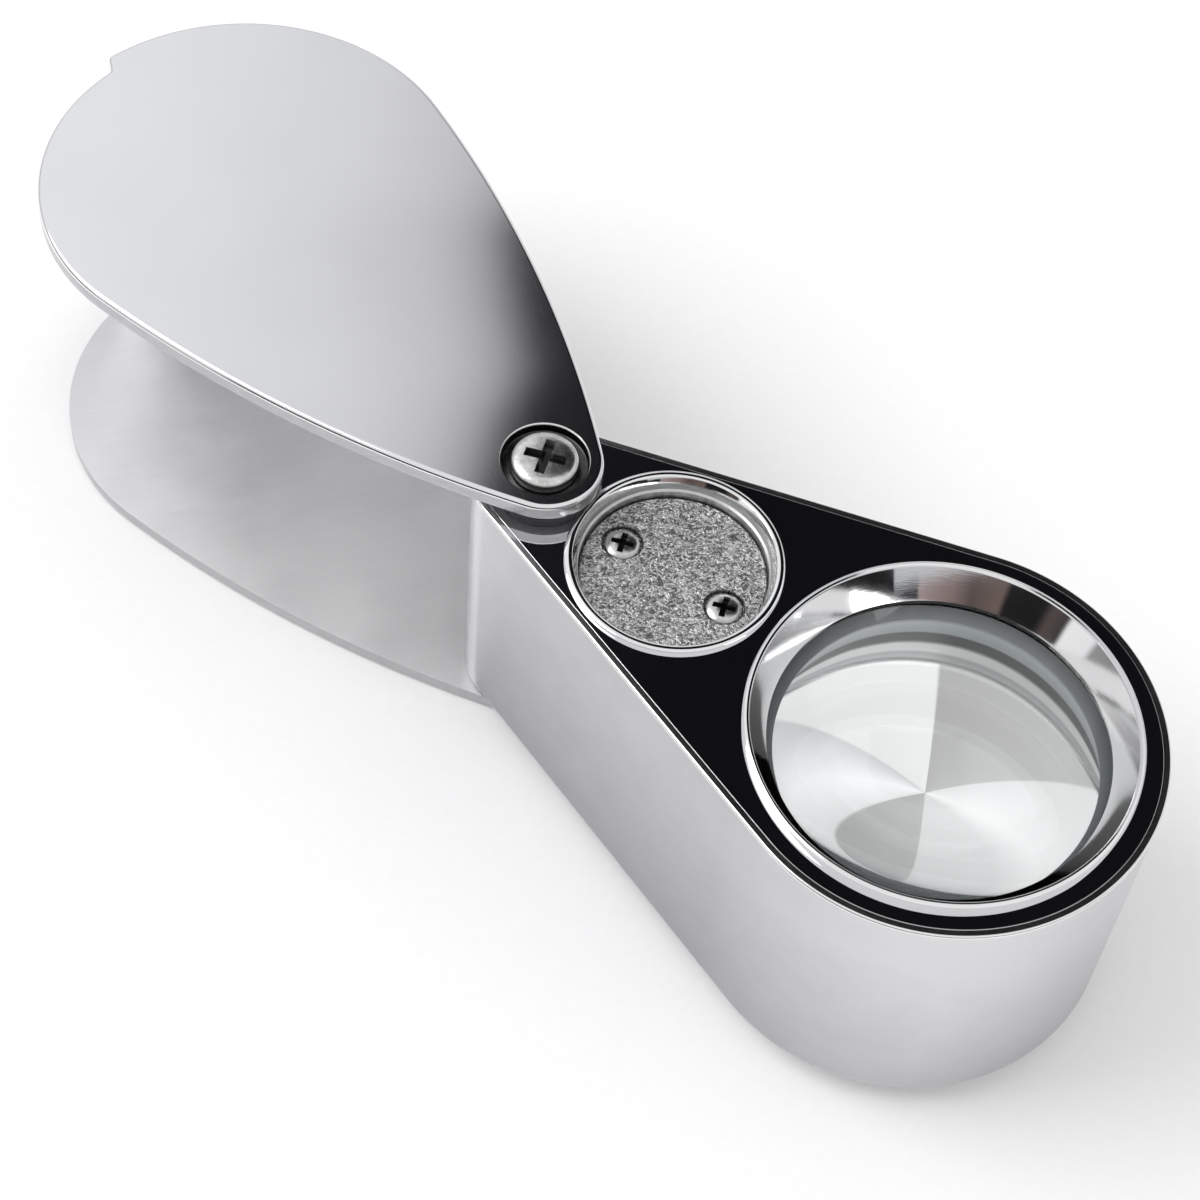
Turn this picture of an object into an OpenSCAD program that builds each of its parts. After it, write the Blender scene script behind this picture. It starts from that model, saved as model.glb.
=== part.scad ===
// Folding pocket loupe with an LED light: a teardrop housing that swings out of a
// teardrop case about a pivot at the narrow end.
// Frame: the pivot axis is Z, the underside of the lower case plate is z = 0, and
// the housing points along +X. Millimetres.

/* [Lens] */
// Diameter of each glass lens
lens_d = 25; // [20:0.5:30]
// Thickness of a lens at its edge
lens_edge = 1.5; // [1:0.1:2.5]
// Height of the curved side of a lens above its edge
lens_sag = 3; // [2:0.1:4]
// Free height between the two curved sides
lens_gap = 3.2; // [1:0.1:5]
// Wall of the spacer ring between the lenses
spacer_wall = 1; // [0.6:0.1:1.5]

/* [Lens bezel and barrel] */
// Width of the thread step in which the bezel screws
thread_step = 0.65; // [0.4:0.05:1]
// Wall of the lens barrel outside the bezel thread
barrel_wall = 1.35; // [0.8:0.05:2]
// Thickness of the ledge on which the lower lens sits
ledge_t = 1; // [0.6:0.1:1.6]
// Width of the ledge
ledge_w = 1.4; // [1:0.1:2]
// How far the bezel flange covers the face plate around its thread
bezel_cover = 0.8; // [0.5:0.1:1.5]
// How far the bezel stands above the face plate
bezel_proud = 0.7; // [0.4:0.05:0.9]
// Width of the flat rim on top of the bezel
bezel_rim = 0.4; // [0.3:0.05:0.8]
// Depth of the sloping inside of the bezel
cone_depth = 2.4; // [1.5:0.1:3]
// How far the lower edge of the slope covers the lens
cone_cover = 0.35; // [0.2:0.05:0.8]
// Height of the straight rim below that slope
cone_land = 0.2; // [0.1:0.05:0.5]

/* [Housing] */
// Height of the housing with its face plate
body_h = 24; // [20:0.5:32]
// Wall of the housing
wall = 1.2; // [1:0.1:2]
// Thickness of the housing's floor
floor_t = 1.5; // [1:0.1:2.5]
// Width of the housing's rim around the face plate
rim_w = 0.5; // [0.3:0.05:0.8]
// Thickness of the face plate
face_t = 1; // [0.6:0.1:1.4]
// Diameter of the viewing hole in the floor
aperture_d = 20; // [16:0.5:22]
// Space between the battery cap and the lens bezel
ring_gap = 0.9; // [0.6:0.1:3]

/* [Case] */
// Thickness of the two case plates
plate_t = 1.4; // [1.2:0.1:1.8]
// Thickness of the web that joins the plates
web_t = 0.8; // [0.6:0.1:1.4]
// How far the web stands outside the free edge of the plates
web_step = 1.3; // [0.8:0.05:2]
// Radius of the slight bow along the sides of the plates
side_bow_r = 104; // [80:1:200]
// Distance from the pivot at which the web ends on the long side
web_end = 16; // [12:0.5:24]
// How much smaller the narrow end of the plates is than that of the housing
plate_inset = 0.9; // [0:0.1:1.2]
// Gap between the housing's face and the upper plate
gap_top = 1; // [0.9:0.05:1.5]
// Gap between the housing's floor and the lower plate
gap_bottom = 0.7; // [0.5:0.05:1.5]
// Gap between the shut housing and the web
closed_gap = 0.25; // [0.15:0.05:0.5]
// Angle from the shut housing to where it stands open
open_angle = 191.4; // [150:0.1:230]

/* [Pivot] */
// Diameter of the pivot post
post_d = 4.4; // [4:0.1:6]
// Wall of the pivot bushes
bush_wall = 0.75; // [0.5:0.05:1.2]
// Length of each bush
bush_l = 6; // [4:0.5:8]
// Housing metal around the bushes
boss_wall = 2.2; // [1.8:0.1:3]
// Diameter of the pivot screw's shank
screw_d = 2.4; // [2:0.1:3]
// Length of the shank in the post
screw_l = 5; // [3:0.5:7]
// Diameter of the pivot screw's head
head_d = 5; // [4:0.1:5.6]
// Height of the pivot screw's head
head_h = 1.2; // [0.9:0.1:1.6]
// Depth of the cup in the upper plate for that head
cup_depth = 0.8; // [0.5:0.1:0.9]
// Gap around the head in its cup
cup_gap = 0.7; // [0.3:0.1:1]
// Thickness of the post's flat foot, pressed flush in the lower plate
foot_t = 0.7; // [0.4:0.05:0.9]
// How far the foot stands out around the post
foot_step = 0.8; // [0.5:0.05:1.2]
// Gap between the switch cam and the boss around it
cam_gap = 0.4; // [0.3:0.05:0.5]
// How far the cam's lobe stands out
cam_lift = 0.25; // [0.15:0.05:0.3]
// Height of the switch cam
cam_t = 2; // [1.5:0.1:3]
// Diameter of the friction washers
washer_d = 7.2; // [7:0.1:9]

/* [Battery] */
// Diameter of a button cell
cell_d = 11.6; // [7.9:0.1:12.5]
// Height of a button cell
cell_h = 3.05; // [2.1:0.05:3.6]
// Wall of the battery holder
holder_wall = 1.2; // [0.8:0.1:1.6]
// Thickness of the holder's floor
holder_floor = 1.2; // [0.8:0.1:2]
// Space between the pivot boss and the battery holder
holder_gap = 0.65; // [0.3:0.05:2]
// How far the cap's flange covers the face plate
cap_cover = 0.75; // [0.5:0.05:1.2]
// How far the cap stands above the face plate
cap_proud = 0.4; // [0.3:0.05:0.8]
// Wall of the cap around the cover disc
cap_wall = 0.4; // [0.3:0.05:0.8]
// Width of the cap's ledge under the cover disc
cap_ledge = 0.7; // [0.4:0.05:1]
// Thickness of that ledge
cap_ledge_t = 1; // [0.6:0.1:1.5]
// Depth of the cover disc below the cap's top
cover_depth = 1.9; // [1:0.1:2.5]
// Thickness of the cover disc
cover_t = 0.9; // [0.6:0.1:1.2]
// Thickness of the carrier under the cover disc
carrier_t = 2.8; // [2:0.1:3.5]
// Free height of the contact spring
spring_h = 1.2; // [0.8:0.1:2]
// Thickness of the lower contact
contact_t = 0.5; // [0.3:0.05:0.8]
// Distance of each cover screw from the cap's centre
cover_screw_r = 4.5; // [3.5:0.05:4.6]
// Diameter of the holes in which the cover screws lie
cover_hole_d = 3; // [2.2:0.1:3.4]
// Diameter of those screws' shanks
cover_screw_d = 1.5; // [1.2:0.1:1.8]
// Length of those screws below the cover disc
cover_screw_l = 2.2; // [1:0.1:2.4]
// Depth of the seats for their heads
cover_seat = 0.55; // [0.4:0.05:0.7]

/* [Light] */
// Diameter of an LED
led_d = 2.4; // [1.8:0.1:2.8]
// Height of an LED
led_h = 3; // [2:0.1:3.2]
// Thickness of the LED board
board_t = 0.8; // [0.6:0.1:1.2]
// Width of the contact strips
strip_w = 1.2; // [0.8:0.1:1.6]
// Thickness of the contact strips
strip_t = 0.25; // [0.15:0.05:0.4]

/* [Fits] */
// Radial clearance of a running fit
run_gap = 0.05; // [0.02:0.01:0.1]
// Radial clearance of a piece that drops in
slip_gap = 0.1; // [0.05:0.01:0.2]
// End play between the housing and its washers
end_play = 0.1; // [0.05:0.01:0.2]

/* [Hidden] */
$fn = 128;
bow_fn = 720;
eps = 0.01;
// depth by which the sides start inside the end arcs, so that they cross cleanly
seam = 0.01;
// how far a cutter stands out of what it cuts
over = 1;
// bevel on the outer edge of the bezel and of the cap
edge = 0.2;
// width of the bevel inside the cap's rim
cap_lip = 0.7;
// width and depth of a screw's cross as shares of its head's diameter and height
cross_share = 0.7;
cross_sink = 0.7;
// free depth of the tapped hole below the pivot screw
tap_spare = 1;
// angle at which the cam's lobe starts
cam_start = -60;
// narrow end of a button cell: its height, and how far it stands in from the side
cell_step_t = 0.25;
cell_step = 0.9;
// how far the lower contact stands in from the side of the cells
contact_inset = 1;
// width of the flat rims of the contact spring
spring_rim = 1;

// radii about the lens axis
lens_r = lens_d / 2;
barrel_in = lens_r + slip_gap;
thread_r = barrel_in + thread_step;
barrel_out = thread_r + barrel_wall;
cavity_r = barrel_out + slip_gap;
body_r_lens = cavity_r + wall;
bezel_r = thread_r + bezel_cover;
skirt_r = thread_r - run_gap;
glass_r = (lens_r * lens_r + lens_sag * lens_sag) / (2 * lens_sag);

// radii about the pivot axis
post_r = post_d / 2;
bush_in = post_r + run_gap;
bush_out = bush_in + bush_wall;
body_r_pivot = bush_out + boss_wall;
screw_r = screw_d / 2;
foot_r = post_r + foot_step;
cam_r = bush_out - cam_gap;
cam_lobe_r = cam_r + cam_lift;

// radii about the battery axis
cell_r = cell_d / 2;
holder_in = cell_r + slip_gap;
holder_out = holder_in + holder_wall;
cap_skirt_r = holder_out + slip_gap;
cap_r = cap_skirt_r + cap_cover;
cover_r = cap_skirt_r - cap_wall;
carrier_r = cover_r - cap_ledge;

// places along X
boss_r = body_r_pivot - wall;
rings_l = cap_r + ring_gap + bezel_r;
battery_x = max(boss_r + holder_gap + holder_out,
    place_for(holder_out + run_gap + wall), place_for(cap_r + run_gap + rim_w));
lens_x = battery_x + rings_l;

// Distance from the pivot at which the housing is as wide as twice the given half width
function place_for(half) = rings_l * (half - body_r_pivot) / (body_r_lens - half);

// heights
z_body = plate_t + gap_bottom;
z_floor = z_body + floor_t;
z_face = z_body + body_h;
z_inlay = z_face - face_t;
z_plate = z_face + gap_top;
z_top = z_plate + plate_t;
z_lens_top = z_face + bezel_proud - cone_depth - cone_land;
z_lens_under = z_lens_top - lens_edge;
spacer_h = 2 * lens_sag + lens_gap;
z_spacer = z_lens_under - spacer_h;
z_seat = z_spacer - lens_edge;
z_board = z_seat - ledge_t - board_t;
z_cap = z_face + cap_proud;
z_cover = z_cap - cover_depth - cover_t;
z_cover_seat = z_cover + cover_t - cover_seat;
z_carrier = z_cover - carrier_t;
z_cells = z_carrier - spring_h - 3 * cell_h;
z_contact = z_cells - contact_t;
z_cam = z_body + body_h / 2;

// contact strips: slot in which both run, where they turn up to the LED board, and
// where the leaf turns down beside the boss
passage_w = 4 * strip_w;
strip_end = lens_x - thread_r + 3 * slip_gap;
leaf_x = boss_r + 2 * slip_gap;

// case outline: the web lies just outside the shut housing
web_in = body_r_lens + closed_gap;
web_out = web_in + web_t;
case_r_lens = web_out - web_step;
case_r_pivot = body_r_pivot - plate_inset;
case_turn = 360 - open_angle;

// Straight-sided teardrop round the pivot and lens axes, grown by grow
module teardrop(grow) {
    r1 = body_r_pivot + grow;
    r2 = body_r_lens + grow;
    tangent = acos((r1 - r2) / lens_x);
    side_1 = (r1 - seam) * [cos(tangent), sin(tangent)];
    side_2 = (r2 - seam) * [cos(tangent), sin(tangent)];
    circle(r = r1);
    translate([lens_x, 0]) circle(r = r2);
    polygon([
        [side_1[0], side_1[1]],
        [side_1[0], -side_1[1]],
        [lens_x + side_2[0], -side_2[1]],
        [lens_x + side_2[0], side_2[1]]
    ]);
}

// Bow-sided teardrop of the case, of radius wide_r at its wide end, grown by grow.
// Its sides are arcs that are tangent to both end circles.
module case_outline(wide_r, grow) {
    reach_1 = side_bow_r - case_r_pivot;
    reach_2 = side_bow_r - wide_r;
    bow_x = (reach_1 * reach_1 - reach_2 * reach_2 + lens_x * lens_x) / (2 * lens_x);
    bow_y = sqrt(reach_1 * reach_1 - bow_x * bow_x);
    x1 = -(case_r_pivot + grow) * bow_x / reach_1;
    x2 = lens_x + (wide_r + grow) * (lens_x - bow_x) / reach_2;
    half = 2 * wide_r;
    bow = side_bow_r + grow - seam;
    circle(r = case_r_pivot + grow);
    translate([lens_x, 0]) circle(r = wide_r + grow);
    intersection() {
        translate([bow_x, bow_y]) circle(r = bow, $fn = bow_fn);
        translate([bow_x, -bow_y]) circle(r = bow, $fn = bow_fn);
        translate([x1, -half]) square([x2 - x1, 2 * half]);
    }
}

module ring(inner, outer, height) {
    difference() {
        cylinder(r = outer, h = height);
        translate([0, 0, -over]) cylinder(r = inner, h = height + 2 * over);
    }
}

// Cross for a driver, cut downwards from z = 0
module cross_cut(width, depth) {
    for (turn = [0, 90])
        rotate([0, 0, turn])
            translate([-width / 2, -width / 8, -depth]) cube([width, width / 4, depth + over]);
}

module at_lens(z) { translate([lens_x, 0, z]) children(); }

module at_battery(z) { translate([battery_x, 0, z]) children(); }

// The part of a flat shape that lies on the web's side of the case, beyond start
module web_side(start) {
    reach = lens_x + 2 * web_out;
    intersection() {
        children();
        translate([start, -reach]) square([reach, reach]);
    }
}

// Two plates and the web that joins them round one side of the wide end
module case_shell() {
    color("gainsboro") rotate([0, 0, case_turn]) difference() {
        union() {
            for (z = [0, z_plate]) translate([0, 0, z]) linear_extrude(height = plate_t) {
                case_outline(case_r_lens, 0);
                web_side(0) case_outline(web_out, 0);
            }
            linear_extrude(height = z_top) web_side(web_end) difference() {
                case_outline(web_out, 0);
                case_outline(web_out, -web_t);
            }
        }
        translate([0, 0, z_plate - over])
            cylinder(r = screw_r + slip_gap, h = plate_t + 2 * over);
        translate([0, 0, z_top - cup_depth])
            cylinder(r = head_d / 2 + cup_gap, h = cup_depth + over);
        translate([0, 0, -over]) cylinder(r = post_r, h = plate_t + 2 * over);
        translate([0, 0, -over]) cylinder(r = foot_r, h = foot_t + over);
    }
}

module pivot_screw() {
    color("silver") difference() {
        union() {
            translate([0, 0, z_top - cup_depth]) cylinder(r = head_d / 2, h = head_h);
            translate([0, 0, z_plate - screw_l]) cylinder(r = screw_r, h = screw_l + plate_t / 2);
        }
        translate([0, 0, z_top - cup_depth + head_h])
            cross_cut(head_d * cross_share, head_h * cross_sink);
    }
}

// Post with a flat foot, tapped from above for the pivot screw
module pivot_post() {
    hole = screw_l + tap_spare;
    color("darkgray") difference() {
        union() {
            cylinder(r = foot_r, h = foot_t);
            cylinder(r = post_r, h = z_plate);
        }
        translate([0, 0, z_plate - hole]) cylinder(r = screw_r + run_gap, h = hole + over);
    }
}

module washer_top() {
    color("dimgray") translate([0, 0, z_face + end_play])
        ring(bush_in, washer_d / 2, gap_top - end_play);
}

module washer_bottom() {
    color("dimgray") translate([0, 0, plate_t])
        ring(bush_in, washer_d / 2, gap_bottom - end_play);
}

// Ring on the post whose lobe works the contact leaf
module switch_cam() {
    color("gold") translate([0, 0, z_cam - cam_t / 2]) difference() {
        union() {
            cylinder(r = cam_r, h = cam_t);
            rotate([0, 0, cam_start]) intersection() {
                cylinder(r = cam_lobe_r, h = cam_t);
                translate([0, -cam_lobe_r, 0]) cube([cam_lobe_r * 2, cam_lobe_r * 2, cam_t]);
            }
        }
        translate([0, 0, -over]) cylinder(r = post_r, h = cam_t + 2 * over);
    }
}

// Casting with its floor, rim and pivot boss
module housing_shell() {
    leaf_slot = strip_w + 2 * slip_gap;
    color("lightgray") difference() {
        translate([0, 0, z_body]) linear_extrude(height = body_h) teardrop(0);
        difference() {
            translate([0, 0, z_floor])
                linear_extrude(height = z_inlay - z_floor + eps) teardrop(-wall);
            translate([0, 0, z_body]) cylinder(r = boss_r, h = body_h);
        }
        translate([0, 0, z_inlay]) linear_extrude(height = face_t + over) teardrop(-rim_w);
        translate([0, 0, z_body - over]) cylinder(r = bush_out, h = body_h + 2 * over);
        at_lens(z_body - over) cylinder(d = aperture_d, h = floor_t + 2 * over);
        translate([0, -leaf_slot / 2, z_cam - leaf_slot / 2])
            cube([boss_r + over, leaf_slot, leaf_slot]);
    }
}

// Polished plate let into the rim, held down by the bezel and the cap
module face_plate() {
    color("black") difference() {
        translate([0, 0, z_inlay]) linear_extrude(height = face_t) teardrop(-rim_w - run_gap);
        translate([0, 0, z_inlay - over]) cylinder(r = bush_out, h = face_t + 2 * over);
        at_lens(z_inlay - over) cylinder(r = thread_r, h = face_t + 2 * over);
        at_battery(z_inlay - over) cylinder(r = cap_skirt_r + run_gap, h = face_t + 2 * over);
    }
}

module bush_top() {
    color("peru") translate([0, 0, z_face - bush_l]) ring(bush_in, bush_out, bush_l);
}

module bush_bottom() {
    color("peru") translate([0, 0, z_body]) ring(bush_in, bush_out, bush_l);
}

// Ring with a flange, a sloping inside and a skirt that holds the lenses down
module lens_bezel() {
    top = z_face + bezel_proud;
    cone_r = lens_r - cone_cover;
    color("silver") at_lens(0) rotate_extrude() polygon([
        [bezel_r, z_face],
        [bezel_r, top - edge],
        [bezel_r - edge, top],
        [bezel_r - bezel_rim, top],
        [cone_r, top - cone_depth],
        [cone_r, z_lens_top],
        [skirt_r, z_lens_top],
        [skirt_r, z_face]
    ]);
}

// Lens with a flat side down at z = 0 and a curved side up
module plano_convex() {
    intersection() {
        cylinder(r = lens_r, h = lens_edge + lens_sag + over);
        translate([0, 0, lens_edge + lens_sag - glass_r]) sphere(r = glass_r);
    }
}

module upper_lens() {
    color("aliceblue") at_lens(z_lens_top) mirror([0, 0, 1]) plano_convex();
}

module lower_lens() {
    color("aliceblue") at_lens(z_seat) plano_convex();
}

// Ring whose ends are hollowed to seat on the curved sides of the lenses
module lens_spacer() {
    reach = glass_r - lens_sag;
    color("dimgray") difference() {
        at_lens(z_spacer) ring(lens_r - spacer_wall, lens_r, spacer_h);
        at_lens(z_spacer - reach) sphere(r = glass_r + run_gap);
        at_lens(z_lens_under + reach) sphere(r = glass_r + run_gap);
    }
}

// Tube for the lenses with the light chamber below its ledge
module lens_barrel() {
    chamber = z_seat - ledge_t - z_floor;
    color("whitesmoke") difference() {
        at_lens(z_floor) cylinder(r = barrel_out, h = z_inlay - z_floor);
        at_lens(z_lens_top) cylinder(r = thread_r, h = z_inlay);
        at_lens(z_seat) cylinder(r = barrel_in, h = z_inlay);
        at_lens(z_seat - ledge_t - over)
            cylinder(r = barrel_in - ledge_w, h = ledge_t + 2 * over);
        at_lens(z_floor - over) cylinder(r = thread_r, h = chamber + over);
        strip_passage();
    }
}

// Low slot through which the two strips pass below the holder and the barrel
module strip_passage() {
    translate([boss_r, -passage_w / 2, z_floor - over])
        cube([lens_x - barrel_in - boss_r, passage_w, 2 * over + 2 * strip_t]);
}

module led_board() {
    color("green") at_lens(z_board) ring(aperture_d / 2, thread_r - slip_gap, board_t);
}

module led(side) {
    place = (aperture_d / 2 + thread_r - slip_gap) / 2;
    color("lightyellow") translate([lens_x, side * place, z_board - led_h]) {
        translate([0, 0, led_d / 2]) cylinder(d = led_d, h = led_h - led_d / 2);
        translate([0, 0, led_d / 2]) sphere(d = led_d);
    }
}

module led_left() { led(1); }

module led_right() { led(-1); }

// Tube with a floor between the cells and the strips below
module battery_holder() {
    color("dimgray") difference() {
        at_battery(z_floor) cylinder(r = holder_out, h = z_carrier - slip_gap - z_floor);
        at_battery(z_contact) cylinder(r = holder_in, h = z_carrier);
        at_battery(z_floor - over)
            cylinder(r = holder_in, h = z_contact - holder_floor - z_floor + over);
        translate([battery_x - strip_w, strip_w / 2 - slip_gap, z_floor])
            cube([2 * strip_w, strip_w + 2 * slip_gap, z_cells - z_floor]);
        strip_passage();
    }
}

module button_cell(index) {
    color("silver") at_battery(z_cells + index * cell_h) {
        cylinder(r = cell_r - cell_step, h = cell_step_t);
        translate([0, 0, cell_step_t])
            cylinder(r = cell_r, h = cell_h - cell_step_t - run_gap);
    }
}

module button_cell_1() { button_cell(0); }

module button_cell_2() { button_cell(1); }

module button_cell_3() { button_cell(2); }

// Dished spring washer between the top cell and the carrier
module battery_spring() {
    inner = cell_r / 4;
    outer = 3 * inner;
    low = z_carrier - spring_h;
    color("goldenrod") at_battery(0) rotate_extrude() polygon([
        [inner, low],
        [inner + spring_rim, low],
        [outer, z_carrier - strip_t],
        [outer, z_carrier],
        [outer - spring_rim, z_carrier],
        [inner, low + strip_t]
    ]);
}

module battery_contact() {
    color("goldenrod") at_battery(z_contact) cylinder(r = cell_r - contact_inset, h = contact_t);
}

module contact_carrier() {
    color("black") difference() {
        at_battery(z_carrier) cylinder(r = carrier_r, h = carrier_t);
        for (side = [-1, 1]) translate([side * cover_screw_r, 0, 0])
            at_battery(z_cover - cover_screw_l) cylinder(d = cover_screw_d, h = carrier_t);
    }
}

// Flanged ring that screws into the face of the housing
module battery_cap_ring() {
    color("silver") at_battery(0) rotate_extrude() polygon([
        [cap_r, z_face],
        [cap_r, z_cap - edge],
        [cap_r - edge, z_cap],
        [cap_r - cap_lip, z_cap],
        [cover_r + slip_gap, z_cap - cap_lip],
        [cover_r + slip_gap, z_cover],
        [carrier_r + slip_gap, z_cover],
        [carrier_r + slip_gap, z_cover - cap_ledge_t],
        [cap_skirt_r, z_cover - cap_ledge_t],
        [cap_skirt_r, z_face]
    ]);
}

module battery_cover_disc() {
    color("gray") difference() {
        at_battery(z_cover) cylinder(r = cover_r, h = cover_t);
        for (side = [-1, 1]) translate([side * cover_screw_r, 0, 0]) {
            at_battery(z_cover - over) cylinder(d = cover_screw_d, h = cover_t + 2 * over);
            at_battery(z_cover_seat) cylinder(d = cover_hole_d, h = cover_t);
        }
    }
}

module battery_cover_screws() {
    shank = cover_screw_d - 2 * run_gap;
    head = cover_hole_d - 2 * slip_gap;
    color("silver") for (side = [-1, 1]) translate([side * cover_screw_r, 0, 0]) difference() {
        union() {
            at_battery(z_cover_seat) cylinder(d = head, h = cover_seat);
            at_battery(z_cover - cover_screw_l + run_gap)
                cylinder(d = shank, h = z_cover_seat - z_cover + cover_screw_l);
        }
        at_battery(z_cover_seat + cover_seat)
            cross_cut(head * cross_share, cover_seat * cross_sink);
    }
}

// Strip from the lower contact, along the floor and up to the LED board
module contact_strip() {
    start = battery_x - strip_t;
    color("goldenrod") translate([0, strip_w / 2, 0]) {
        translate([start, 0, z_floor]) cube([strip_t, strip_w, z_contact - z_floor]);
        translate([start, 0, z_floor]) cube([strip_end + strip_t - start, strip_w, strip_t]);
        translate([strip_end, 0, z_floor]) cube([strip_t, strip_w, z_board - z_floor]);
    }
}

// Leaf that reaches the cam through the boss and runs along the floor to the board
module switch_leaf() {
    tip = cam_lobe_r + slip_gap;
    low = -strip_w / 2;
    side = low - strip_w;
    color("gold") {
        translate([tip, low, z_cam - strip_t / 2])
            cube([leaf_x - tip + strip_t, strip_w, strip_t]);
        translate([leaf_x, low, z_floor])
            cube([strip_t, strip_w, z_cam - z_floor + strip_t / 2]);
        translate([leaf_x, side, z_floor]) cube([strip_t, 2 * strip_w, strip_t]);
        translate([leaf_x, side, z_floor])
            cube([strip_end - leaf_x + strip_t, strip_w, strip_t]);
        translate([strip_end, side, z_floor]) cube([strip_t, strip_w, z_board - z_floor]);
    }
}

case_shell();
pivot_screw();
pivot_post();
washer_top();
washer_bottom();
switch_cam();
housing_shell();
face_plate();
bush_top();
bush_bottom();
lens_bezel();
upper_lens();
lens_spacer();
lower_lens();
lens_barrel();
led_board();
led_left();
led_right();
battery_holder();
button_cell_1();
button_cell_2();
button_cell_3();
battery_spring();
battery_contact();
contact_carrier();
battery_cap_ring();
battery_cover_disc();
battery_cover_screws();
contact_strip();
switch_leaf();
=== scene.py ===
import math
import bpy
from mathutils import Matrix, Vector


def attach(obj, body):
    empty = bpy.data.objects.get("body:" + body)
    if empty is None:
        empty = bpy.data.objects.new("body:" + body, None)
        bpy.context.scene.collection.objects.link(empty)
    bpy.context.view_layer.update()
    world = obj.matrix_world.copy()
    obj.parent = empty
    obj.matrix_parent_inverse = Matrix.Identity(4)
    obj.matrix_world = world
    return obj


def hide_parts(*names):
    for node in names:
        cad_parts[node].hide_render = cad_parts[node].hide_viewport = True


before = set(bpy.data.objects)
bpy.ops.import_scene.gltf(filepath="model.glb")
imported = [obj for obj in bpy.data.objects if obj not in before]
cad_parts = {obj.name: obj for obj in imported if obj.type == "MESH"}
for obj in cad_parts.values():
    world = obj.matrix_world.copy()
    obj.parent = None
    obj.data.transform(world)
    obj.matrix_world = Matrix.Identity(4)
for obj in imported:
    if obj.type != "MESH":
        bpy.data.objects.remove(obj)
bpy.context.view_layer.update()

MM = 0.001

# Camera. It looks down on the open loupe from the lens side, with the case at the back left. Its
# long lens keeps the near and the far end of the loupe close to their true proportions.
FOCAL_LENGTH, SENSOR_WIDTH = 86.0, 36.0
camera_data = bpy.data.cameras.new("camera")
camera_data.lens = FOCAL_LENGTH
camera_data.sensor_width = SENSOR_WIDTH
camera_data.clip_start = 0.01
camera = bpy.data.objects.new("camera", camera_data)
bpy.context.scene.collection.objects.link(camera)
eye = Vector((68.316, -103.713, 193.625))
sight = Matrix(((0.804647, -0.517994, 0.290216),
                (0.590511, 0.647137, -0.482192),
                (0.061963, 0.559371, 0.826599)))
camera.matrix_world = Matrix.Translation(eye * MM) @ sight.to_4x4()
bpy.context.scene.camera = camera


# Shading maths. A Wire is one output of a node; sums and products of wires add Math nodes.
class Wire:
    def __init__(self, tree, socket):
        self.tree, self.socket = tree, socket

    def math(self, what, other=None):
        return add_node(self.tree, "ShaderNodeMath", {"operation": what}, {0: self, 1: other})

    def __add__(self, other):
        return self.math("ADD", other)

    def __sub__(self, other):
        return self.math("SUBTRACT", other)

    def __mul__(self, other):
        return self.math("MULTIPLY", other)

    def __truediv__(self, other):
        return self.math("DIVIDE", other)

    def __rsub__(self, other):
        return (self * -1.0) + other

    def clamp(self):
        return self.math("MINIMUM", 1.0).math("MAXIMUM", 0.0)

    def between(self, low, high):
        return ((self - low) * (1.0 / (high - low))).clamp()

    def parts(self):
        """The x, y and z of a wire that carries a vector."""
        node = self.tree.nodes.new("ShaderNodeSeparateXYZ")
        self.tree.links.new(self.socket, node.inputs[0])
        return [Wire(self.tree, socket) for socket in node.outputs]


def add_node(tree, kind, settings=None, sockets=None, out=0):
    """Adds a node; "stops" are the places and tones of a colour ramp, and None leaves a socket."""
    node = tree.nodes.new(kind)
    for key, value in (settings or {}).items():
        if key == "stops":
            ramp = node.color_ramp
            while len(ramp.elements) < len(value):
                ramp.elements.new(0.5)
            for element, (place, tone) in zip(ramp.elements, value):
                element.position = place
                element.color = (*tone, 1.0)
        else:
            setattr(node, key, value)
    for key, value in (sockets or {}).items():
        if value is None:
            continue
        if isinstance(value, Wire):
            tree.links.new(value.socket, node.inputs[key])
        else:
            node.inputs[key].default_value = value
    return Wire(tree, node.outputs[out])


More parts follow.
